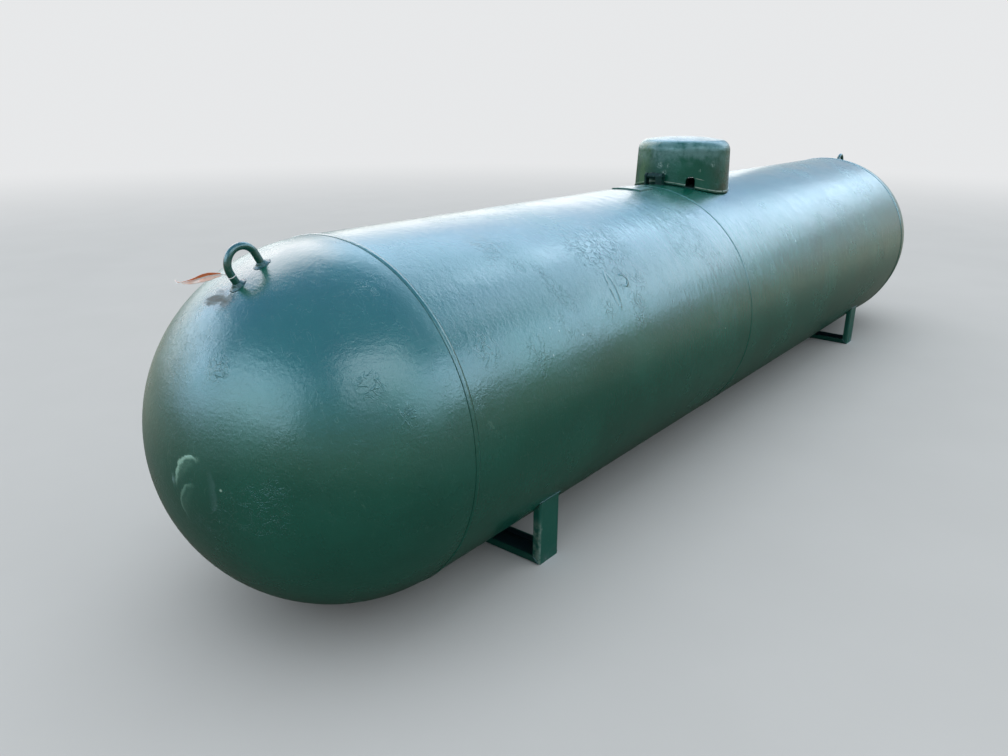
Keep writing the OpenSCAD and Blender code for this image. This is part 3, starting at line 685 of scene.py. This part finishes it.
def coupling_weld(name, at, reach):
    """The bead round a coupling's foot, laid over the round of the shell."""
    mesh = bmesh.new()
    start = Vector((at[0] + reach, at[1], crown_at(0)))
    lay_weld(mesh, start, Vector((0, 1, 0)), foot_bead, centre=(at[0], at[1], crown_at(0)),
             axis=(0, 0, 1), angle=math.tau)
    for vertex in mesh.verts:
        vertex.co.z += crown_at(vertex.co.y) - crown_at(0)
    finished(name, mesh, hand_weld_look, "tank")


for name, reach in (("relief_valve", large_foot), ("filler_valve", large_foot), ("vapour_valve", small_foot),
                    ("level_valve", small_foot), ("float_gauge", gauge_foot)):
    low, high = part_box(name)
    coupling_weld(name + "_weld", ((low.x + high.x) / 2, (low.y + high.y) / 2), reach)
low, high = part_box("handwheel")
service_at = ((low.x + high.x) / 2, (low.y + high.y) / 2)
coupling_weld("service_valve_weld", service_at, small_foot)

nut_reach, nut_tall = 0.0068, 0.006
nut_rise, spindle_rise = 0.0031, 0.0049
spindle_foot, spindle_tip, spindle_tall = 0.0034, 0.0030, 0.0095
wheel_nut = bmesh.new()
flats = bmesh.ops.create_cone(wheel_nut, cap_ends=True, segments=6, radius1=nut_reach, radius2=nut_reach,
                              depth=nut_tall)["verts"]
bmesh.ops.translate(wheel_nut, vec=(*service_at, high.z + nut_rise), verts=flats)
bmesh.ops.bevel(wheel_nut, geom=wheel_nut.edges[:], offset=0.0006, segments=2, profile=0.5,
                affect="EDGES", material=-1)
spindle = bmesh.ops.create_cone(wheel_nut, cap_ends=True, segments=20, radius1=spindle_foot,
                                radius2=spindle_tip, depth=spindle_tall)["verts"]
bmesh.ops.translate(wheel_nut, vec=(*service_at, high.z + spindle_rise), verts=spindle)
finished("handwheel_nut", wheel_nut, brass_look, "tank")

dial_radius, dial_thick = 0.0215, 0.0016
tick_inner, tick_outer = 0.0150, 0.0190
tick_turns = 10.0
blank_side = -0.0160
low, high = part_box("float_gauge")
gauge_at = Vector(((low.x + high.x) / 2, (low.y + high.y) / 2, high.z))
dial_look = Finish("dial_white", "tie_plastic")
dial_look.colour = dial_look.blend(dial_look.slow_noise(90.0, 0.0, 1.0),
                                   (0.72, 0.72, 0.66), (0.60, 0.59, 0.52))
dial_look.roughness = dial_look.slow_noise(70.0, 0.30, 0.45)
dial_place = dial_look.spot(gauge_at)
across = dial_look.part("X", dial_place)
turned = dial_look.math("ARCTAN2", dial_look.part("Y", dial_place), across)
tick = dial_look.math("ABSOLUTE", dial_look.math("SINE", dial_look.both(turned, tick_turns)))
tick = dial_look.between(tick, 0.10, 0.18, 1.0, 0.0)
tick_ring = dial_look.band(dial_look.length(dial_place), tick_inner, tick_outer, 0.0003)
tick = dial_look.both(tick, tick_ring)
tick = dial_look.both(tick, dial_look.between(across, blank_side - 0.0005, blank_side + 0.0005))
dial_look.tint(tick, 0.95, (0.02, 0.02, 0.02))
dial_look.bump(dial_look.noise(300.0), 0.00004)
dial_look.done(Coat_Weight=0.6)
dial = bmesh.new()
bmesh.ops.create_cone(dial, cap_ends=True, segments=64, radius1=dial_radius, radius2=dial_radius,
                      depth=dial_thick, matrix=Matrix.Translation(gauge_at + Vector((0, 0, 0.0009))))
finished("gauge_dial", dial, dial_look, "tank")

ring_wire = 0.0021
ring_at = gauge_at + Vector((dial_radius + 0.0012, 0, 0.0018))
dial_ring = bmesh.new()
wire = bmesh.ops.create_circle(
    dial_ring, segments=12, radius=ring_wire,
    matrix=Matrix.Translation(ring_at) @ Matrix.Rotation(math.pi / 2, 4, "X"))["verts"]
bmesh.ops.spin(dial_ring, geom=wire + dial_ring.edges[:], cent=gauge_at, axis=(0, 0, 1), angle=math.tau,
               steps=72, use_merge=True)
finished("gauge_ring", dial_ring, brass_look, "tank")

pointer_foot, pointer_tip, pointer_len = 0.0016, 0.0004, 0.022
knob_foot, knob_top, knob_tall = 0.0030, 0.0024, 0.0024
pointer_turn = Vector((1, 1, 0)).to_track_quat("Z", "Y").to_matrix().to_4x4()
pointer = bmesh.new()
bmesh.ops.create_cone(pointer, cap_ends=True, segments=12, radius1=pointer_foot, radius2=pointer_tip,
                      depth=pointer_len,
                      matrix=Matrix.Translation(gauge_at + Vector((0.006, 0.006, 0.0026))) @ pointer_turn)
bmesh.ops.create_cone(pointer, cap_ends=True, segments=24, radius1=knob_foot, radius2=knob_top,
                      depth=knob_tall, matrix=Matrix.Translation(gauge_at + Vector((0, 0, 0.0028))))
finished("gauge_pointer", pointer, wheel_look, "tank")


# Hinge: two ears cut from flat bar, one of them broad, are welded on the crown. A strap is
# rolled round the pin between them and welded to the hood. All of it is painted very dark, a
# painted shade between the ears and under the hood, with darker grime in patches.
hinge_look = enamel("hinge_enamel", (0.0020, 0.022, 0.016), (0.0038, 0.046, 0.032),
                    (1.0, 1.0, 3.0), 0.38, 0.8)
grime_and_shade = hinge_look.between(hinge_look.noise(55.0, 4.0, 0.65), 0.45, 0.62)
hinge_look.tint(grime_and_shade, 0.55, (0.006, 0.013, 0.011))
hinge_look.dull(grime_and_shade, 0.25)
hinge_look.tint(hinge_look.between(hinge_look.noise(120.0, 2.0, 0.6), 0.66, 0.70), 0.5, (0.14, 0.22, 0.18))
coat(["hinge_ears", "hinge_strap", "hinge_pin"], hinge_look.done(Specular_IOR_Level=0.08))
ear_low, ear_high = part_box("hinge_ears")
strap_low, strap_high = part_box("hinge_strap")
ear_clear = 0.0015
ear_bead = 0.0028
strap_bead = 0.0026
strap_tuck = 0.0012


def ear_welds(name, y0, y1):
    """Beads along the two faces of an ear that cross the vessel, and along its outer side."""
    mesh = bmesh.new()
    for x in (ear_low.x, ear_high.x):
        start = Vector((x, y0, crown_at(y0)))
        turn = math.asin(y1 / shell_radius) - math.asin(y0 / shell_radius)
        lay_weld(mesh, start, Vector((0, 1, 0)), ear_bead, centre=(x, 0, axis_height), axis=(-1, 0, 0),
                 angle=turn)
    for y in (y0, y1):
        start = Vector((ear_low.x, y, crown_at(y)))
        lay_weld(mesh, start, Vector((1, 0, 0)), ear_bead, ear_high.x - ear_low.x)
    finished(name, mesh, hinge_look, "tank")


ear_welds("broad_ear_weld", ear_low.y, strap_low.y - ear_clear)
ear_welds("thin_ear_weld", strap_high.y + ear_clear, ear_high.y)
strap_weld = bmesh.new()
lay_weld(strap_weld, Vector((strap_high.x - strap_tuck, strap_low.y, strap_high.z)), Vector((0, 1, 0)),
         strap_bead, strap_high.y - strap_low.y)
finished("strap_weld", strap_weld, hinge_look, "hood_cover")


# Hood: a drum pressed from sheet over the fittings, with a leaning wall, a shallow dished top
# and a turned rim that follows the shell. The enamel is thinner here, brushed round the wall,
# scraped in places and worn off along the rim's edge, where a painted highlight also lies.
hood_strokes = (3.0, 3.0, 1.0)
rim_start = shell_radius + 0.005
rim_height = 0.007
hood_look = enamel("hood_enamel", (0.0032, 0.066, 0.040), (0.0060, 0.100, 0.060),
                   hood_strokes, 0.24, 1.6)
upper_wall = hood_look.between(hood_look.part("Z"), 1.10, 1.17)
brown = hood_look.both(hood_look.between(hood_look.part("X"), -0.14, 0.02),
                       hood_look.between(hood_look.part("Z"), 1.12, 1.17, 1.0, 0.2))
patches = hood_look.between(hood_look.noise(12.0, 3.0, 0.6), 0.3, 0.6)
hood_look.tint(hood_look.both(brown, patches), 0.88, (0.014, 0.027, 0.008))
# The upper wall is paler in patches, most toward the near side.
near_side_share = hood_look.between(hood_look.part("X"), -0.16, 0.02, 1.0, 0.35)
paler_wall_patches = hood_look.both(hood_look.both(upper_wall, near_side_share),
                          hood_look.between(hood_look.noise(16.0, 4.0, 0.6), 0.34, 0.60))
hood_look.tint(paler_wall_patches, 0.80, (0.120, 0.24, 0.23))
drips = hood_look.noise(26.0, 4.0, 0.6, 0.0, hood_look.spot(size=(1.0, 1.0, 2.5)))
lime = hood_look.both(hood_look.between(hood_look.part("Y"), 0.02, 0.11),
                      hood_look.between(drips, 0.35, 0.60))
hood_look.tint(lime, 0.34, (0.070, 0.20, 0.045))

# The rim's edge, worn and painted lighter as a painted highlight, lies at one distance from the vessel's
# axis
rim_edge = rim_start + rim_height
from_axis = hood_look.vector("MULTIPLY", hood_look.spot((0, 0, axis_height)), (0, 1, 1))[0]
rim_wear_and_highlight = hood_look.band(hood_look.length(from_axis), rim_edge - 0.0018, rim_edge + 0.0012, 0.0006)
rubbed = hood_look.between(hood_look.noise(24.0, 3.0, 0.6), 0.36, 0.52)
hood_look.tint(hood_look.both(rim_wear_and_highlight, rubbed), 0.75, (0.34, 0.42, 0.36))

# One long scrape is low beside the notch, and short ones are where the hood was knocked
scrape_start = Vector((-0.152, -0.136, 1.069))
scrape_end = Vector((-0.118, -0.166, 1.059))
scrape_width = 0.0016
scrape_way = scrape_end - scrape_start
scrape_turn = scrape_way.to_track_quat("X", "Z").to_euler()
scrape_size = (scrape_way.length / 2, scrape_width, scrape_width)
scrape = hood_look.length(hood_look.spot((scrape_start + scrape_end) / 2, scrape_turn, scrape_size))
hood_look.tint(hood_look.between(scrape, 0.6, 1.1, 1.0, 0.0), 0.75, (0.42, 0.48, 0.42))
scraped = hood_look.spots([((-0.085, -0.183, 1.125), 0.012), ((-0.199, -0.031, 1.117), 0.010),
                           ((-0.201, 0.007, 1.119), 0.014), ((-0.202, -0.015, 1.09), 0.012),
                           ((-0.136, -0.149, 1.10), 0.006)])
scraped = hood_look.both(scraped, hood_look.between(hood_look.noise(150.0, 3.0, 0.7), 0.48, 0.60))
hood_look.tint(scraped, 0.7, (0.30, 0.42, 0.36))
hood_look.dull(scraped, 0.2)
hood_look.bump(scraped, -0.0004)
coat(["hood", "hood_hasp", "lock_staple"], hood_look.done(Specular_IOR_Level=0.20))

# A thin lip of flat bar is tacked inside the rim and keeps the rain out, except at the notch
lip_reach = 0.2011
lip_thick = 0.003
lip_clear = 0.0006
bead_clear = 0.0022
bead_room = 0.025
lip_tall = 0.011
lip_steps = 150
wall_lean = math.tan(math.radians(2.2))
notch_turn, notch_half_turn = math.radians(216.8), math.radians(6.4)
lip = bmesh.new()
corners = [lip.verts.new((lip_reach - thick, 0, tall)) for thick, tall in
           ((0, 0), (lip_thick, 0), (lip_thick, lip_tall), (0, lip_tall))]
outline = corners + [lip.edges.new((corners[i - 1], corners[i])) for i in range(4)]
bmesh.ops.rotate(lip, verts=corners, matrix=Matrix.Rotation(notch_turn + notch_half_turn, 3, "Z"))
bmesh.ops.spin(lip, geom=outline, axis=(0, 0, 1), angle=math.tau - 2 * notch_half_turn, steps=lip_steps)
bmesh.ops.holes_fill(lip, edges=open_edges(lip))
for vertex in lip.verts:
    drop = crown_at(0) - crown_at(vertex.co.y)
    vertex.co.xy *= 1 + drop * wall_lean / lip_reach
    vertex.co.z += crown_at(vertex.co.y) + (bead_clear if abs(vertex.co.x) < bead_room else lip_clear)
# It takes the hinge's very dark finish, a painted shade inside the rim.
finished("hood_lip", lip, hinge_look, "hood_cover")


# Lock side: a flat hasp with a slot is welded to the hood's wall, and a round staple welded on
# the crown comes up through it for a padlock.
hasp_bead, hasp_bead_out = 0.0024, 0.0022
staple_bead, staple_bead_out = 0.0028, 0.0012
hasp_low, hasp_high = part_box("hood_hasp")
hasp_weld = bmesh.new()
for z in (hasp_low.z, hasp_high.z):
    start = Vector((hasp_low.x + hasp_bead_out, hasp_low.y, z))
    lay_weld(hasp_weld, start, Vector((0, 1, 0)), hasp_bead, hasp_high.y - hasp_low.y)
finished("hasp_weld", hasp_weld, hand_weld_look, "hood_cover")
staple_low, staple_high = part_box("lock_staple")
staple_bar = (staple_high.x - staple_low.x) / 2
staple_weld = bmesh.new()
for y in (staple_low.y + staple_bar, staple_high.y - staple_bar):
    middle = Vector(((staple_low.x + staple_high.x) / 2, y, crown_at(y)))
    lay_weld(staple_weld, middle + Vector((staple_bar + staple_bead_out, 0, 0)), Vector((0, 1, 0)),
             staple_bead, centre=middle, axis=(0, 0, 1), angle=math.tau)
finished("staple_weld", staple_weld, hand_weld_look, "tank")


# Tag: a white plastic tie is drawn round the near leg of the near lug. Its tail curls away over
# the head, and an orange plastic tag is folded along it, its lower half and far end painted
# paler as a painted sheen.
tie_rise = 0.029
tie_ring = 0.0106
tail_curl = 0.058
tail_droop, tail_rise = math.radians(-13), math.radians(2)
fold_start, fold_end = math.radians(25), math.radians(84)
tag_inside = tail_curl + 0.0014
tag_len = 0.128
tag_thick = 0.0008
tag_neck = 0.030
tag_point = 0.050
tag_half = 0.0110
tag_root = 0.0045
tag_end = 0.0016
back_bend = 0.034
gutter = 0.42
crumple_depth = 0.0010
sheen_from = 0.022

tie_look = Finish("tie_white", "tie_plastic")
tie_look.colour = tie_look.blend(tie_look.slow_noise(60.0, 0.0, 1.0), (0.88, 0.88, 0.86), (0.78, 0.78, 0.75))
tie_look.roughness = tie_look.slow_noise(60.0, 0.35, 0.5)
tie_look.bump(tie_look.noise(500.0), 0.0001)
coat(["tag_tie"], tie_look.done())


def tag_plastic(name, deep, paler):
    """Thin flexible plastic, a little mottled and creased."""
    look = Finish(name, "tag_plastic")
    look.colour = look.blend(look.between(look.noise(55.0, 4.0, 0.6), 0.35, 0.65), deep, paler)
    look.roughness = look.slow_noise(60.0, 0.38, 0.55)
    look.bump(look.noise(140.0, 3.0), 0.0004)
    look.bump(look.noise(700.0), 0.00005)
    return look.done()


tag_orange = tag_plastic("tag_orange", (0.86, 0.20, 0.060), (0.90, 0.34, 0.17))
tag_sheen = tag_plastic("tag_sheen", (0.92, 0.55, 0.42), (0.90, 0.72, 0.62))
tag = bmesh.new()
bmesh.ops.create_grid(tag, x_segments=44, y_segments=8, size=1)
arc_len = tag_inside * (fold_end - fold_start)
hub = Vector((math.cos(fold_end), math.sin(fold_end), 0)) * (tag_inside + back_bend)
for vertex in tag.verts:
    along, wide = (vertex.co.x + 1) / 2 * tag_len, vertex.co.y
    narrow = min(1.0, max(0.0, tag_len - along - tag_neck) / tag_point) ** 0.75
    half = tag_end + (tag_root - tag_end + (tag_half - tag_root) * min(1.0, along / tag_neck)) * narrow
    crumple = crumple_depth * noise.noise(Vector((along * 60, wide * 1.6, 0)))
    lift = crumple - abs(wide) * half * gutter
    if along < arc_len:
        turn = fold_start + along / tag_inside
        vertex.co = Vector((math.cos(turn), math.sin(turn), 0)) * (tag_inside + lift)
    else:
        turn = fold_end - (along - arc_len) / back_bend
        vertex.co = hub - Vector((math.cos(turn), math.sin(turn), 0)) * (back_bend - lift)
    vertex.co.z = wide * half * 0.93
# Faces on the lower half and the far end get the paler copy of the plastic, a painted sheen.
for face in tag.faces:
    middle = face.calc_center_median()
    sheen_face = middle.z < 0 or middle.y > math.sin(fold_end) * tag_inside + sheen_from
    face.material_index = 1 if sheen_face else 0
place = (Matrix.Translation((-half_length, 0, axis_height)) @ Matrix.Rotation(-lug_lean, 4, "Y")
         @ Matrix.Translation((-lug_foot, 0, math.sqrt(shell_radius ** 2 - lug_foot ** 2) + tie_rise))
         @ Matrix.Rotation(lug_lean, 4, "Y") @ Matrix.Translation((0, tie_ring, 0))
         @ Matrix.Rotation(tail_droop, 4, "Y") @ Matrix.Rotation(tail_rise, 4, "X")
         @ Matrix.Translation((-tail_curl, 0, 0)))
bmesh.ops.transform(tag, matrix=place, verts=tag.verts)
tag_piece = finished("folded_tag", tag, tag_orange, "tank")
tag_piece.data.materials.append(tag_sheen.material)
sheet = tag_piece.modifiers.new("sheet", "SOLIDIFY")
sheet.thickness = tag_thick
sheet.offset = 1
rounding = tag_piece.modifiers.new("rounding", "SUBSURF")
rounding.levels = rounding.render_levels = 1
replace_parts(tag_piece, "hang_tag")


# Floor and backdrop: a plain pale studio floor that runs out into a pale wall. What the paint
# mirrors of it is painted darker close to the vessel, a painted shade where less light reaches,
# and pale further out.
backdrop = (0.80, 0.81, 0.82)
floor_reach = 80
floor_grid = bmesh.new()
bmesh.ops.create_grid(floor_grid, x_segments=2, y_segments=2, size=floor_reach)
floor_mesh = bpy.data.meshes.new("floor")
floor_grid.to_mesh(floor_mesh)
floor_grid.free()
floor = bpy.data.objects.new("floor", floor_mesh)
bpy.context.scene.collection.objects.link(floor)
floor_look = Finish("floor_paint")
floor_look.bump(floor_look.noise(30.0, 4.0), 0.0003)
floor_look.roughness = floor_look.slow_noise(4.0, 0.8, 0.9)
rays = floor_look.add("ShaderNodeLightPath").outputs
pale = floor_look.blend(floor_look.between(floor_look.noise(1.5, 4.0), 0.3, 0.7),
                        (0.575, 0.575, 0.565), (0.59, 0.59, 0.58))
beside = floor_look.length(floor_look.spot(size=(2.5, 1.0, 1.0)))
mirrored = floor_look.blend(floor_look.between(beside, 0.7, 4.2), (0.16, 0.15, 0.13), (0.60, 0.56, 0.46))
# Behind and beyond the vessel, what the paint mirrors is painted darker and browner still, as painted shade.
beyond = floor_look.both(floor_look.between(floor_look.part("X"), 0.5, 2.5),
                         floor_look.between(floor_look.part("Y"), 0.0, 1.2))
mirrored = floor_look.blend(beyond, mirrored, (0.10, 0.085, 0.045))
unseen = floor_look.blend(rays["Is Glossy Ray"], (0.28, 0.27, 0.25), mirrored)
floor_look.colour = floor_look.blend(rays["Is Camera Ray"], unseen, pale)
floor_look.done(Specular_IOR_Level=0.0)
floor_mesh.materials.append(floor_look.material)
glow = floor_look.add("ShaderNodeEmission", {"Color": (*backdrop, 1), "Strength": 1.0})
away = floor_look.length(floor_look.place)
gloss_rays = floor_look.math("MAXIMUM", rays["Is Glossy Ray"], rays["Is Transmission Ray"])
camera_fade = floor_look.both(floor_look.between(away, 5.0, 16.0), rays["Is Camera Ray"])
gloss_fade = floor_look.both(floor_look.between(beside, 5.0, 40.0, 0.0, 0.85), gloss_rays)
gloss_fade = floor_look.both(gloss_fade, floor_look.between(beyond, 0.0, 1.0, 1.0, 0.15))
mixed = floor_look.add("ShaderNodeMixShader", {0: floor_look.math("ADD", camera_fade, gloss_fade),
                                               1: floor_look.shader.outputs[0], 2: glow.outputs[0]})
floor_look.tree.links.new(mixed.outputs[0], floor_look.tree.nodes["Material Output"].inputs["Surface"])


# Studio light: a pale wall all round for the camera, a soft even light for the paint's colour,
# and wide soft panels high up around the vessel that only its gloss mirrors.
world = bpy.data.worlds.new("studio")
bpy.context.scene.world = world
world.use_nodes = True
world.node_tree.nodes.clear()


def studio_node(kind, inputs=None, **settings):
    return add_node(world.node_tree, kind, inputs, **settings).outputs


sky_colour = (0.54, 1.28, 2.75)
soft_colour = (0.92, 0.96, 1.0)
soft_strength = 0.92
rays = studio_node("ShaderNodeLightPath")
direction = studio_node("ShaderNodeTexCoord")["Generated"]
height = studio_node("ShaderNodeSeparateXYZ", {0: direction})["Z"]
climb = studio_node("ShaderNodeMapRange", {"Value": height, "From Min": 0.05, "From Max": 0.75},
                    interpolation_type="SMOOTHSTEP")[0]
ceiling = studio_node("ShaderNodeMix", {0: climb, 6: (*backdrop, 1), 7: (*sky_colour, 1)},
                      data_type="RGBA")[2]
soft = studio_node("ShaderNodeBackground", {"Color": (*soft_colour, 1), "Strength": soft_strength})[0]
wall = studio_node("ShaderNodeBackground", {"Color": (*backdrop, 1)})[0]
gloss_wall = studio_node("ShaderNodeBackground", {"Color": ceiling})[0]
seen = studio_node("ShaderNodeMixShader", {0: rays["Is Camera Ray"], 1: soft, 2: wall})[0]
either = studio_node("ShaderNodeMixShader", {0: rays["Is Glossy Ray"], 1: seen, 2: gloss_wall})[0]
studio_node("ShaderNodeOutputWorld", {"Surface": either})


def soft_light(name, azimuth, elevation, width, tall, radiance, gloss=True, reach=22.0):
    """A soft panel that faces the vessel; the angles are in degrees as seen from it."""
    data = bpy.data.lights.new(name, "AREA")
    data.shape = "RECTANGLE"
    data.size = 2 * reach * math.tan(math.radians(width / 2))
    data.size_y = 2 * reach * math.tan(math.radians(tall / 2))
    strength = max(radiance)
    data.energy = strength * data.size * data.size_y * math.pi
    data.color = [part / strength for part in radiance]
    lamp = bpy.data.objects.new(name, data)
    bpy.context.scene.collection.objects.link(lamp)
    turn, lift = math.radians(azimuth), math.radians(elevation)
    way = Vector((math.cos(turn) * math.cos(lift), math.sin(turn) * math.cos(lift), math.sin(lift)))
    lamp.location = way * reach + Vector((0, 0, axis_height))
    lamp.rotation_euler = (-way).to_track_quat("-Z", "Y").to_euler()
    lamp.visible_camera = False
    lamp.visible_diffuse = not gloss
    lamp.visible_glossy = gloss


soft_light("key_panel", 0, 90, 60, 50, (0.62, 0.67, 0.72), gloss=False)
soft_light("front_panel", -105, 42, 38, 24, (4.4, 5.4, 5.8))
soft_light("front_low_panel", -72, 24, 34, 22, (3.4, 4.8, 6.2))
soft_light("front_far_panel", -43, 19, 28, 20, (2.8, 4.4, 5.6))
soft_light("far_end_panel", -14, 30, 30, 32, (2.8, 3.6, 4.2))
soft_light("far_low_panel", 38, 16, 34, 22, (2.0, 1.95, 1.85))
soft_light("far_back_panel", 25, 45, 46, 24, (2.8, 3.6, 4.1))
soft_light("back_panel", 76, 36, 34, 34, (4.9, 4.3, 3.7))
soft_light("back_low_panel", 92, 11, 60, 11, (2.2, 2.3, 2.3))
soft_light("back_near_panel", 116, 26, 34, 20, (3.6, 4.5, 5.4))
soft_light("near_back_panel", 142, 17, 26, 22, (2.9, 4.4, 6.0))
soft_light("near_end_panel", 178, 26, 44, 28, (3.9, 5.6, 6.7))

bpy.context.scene.view_settings.view_transform = "Standard"
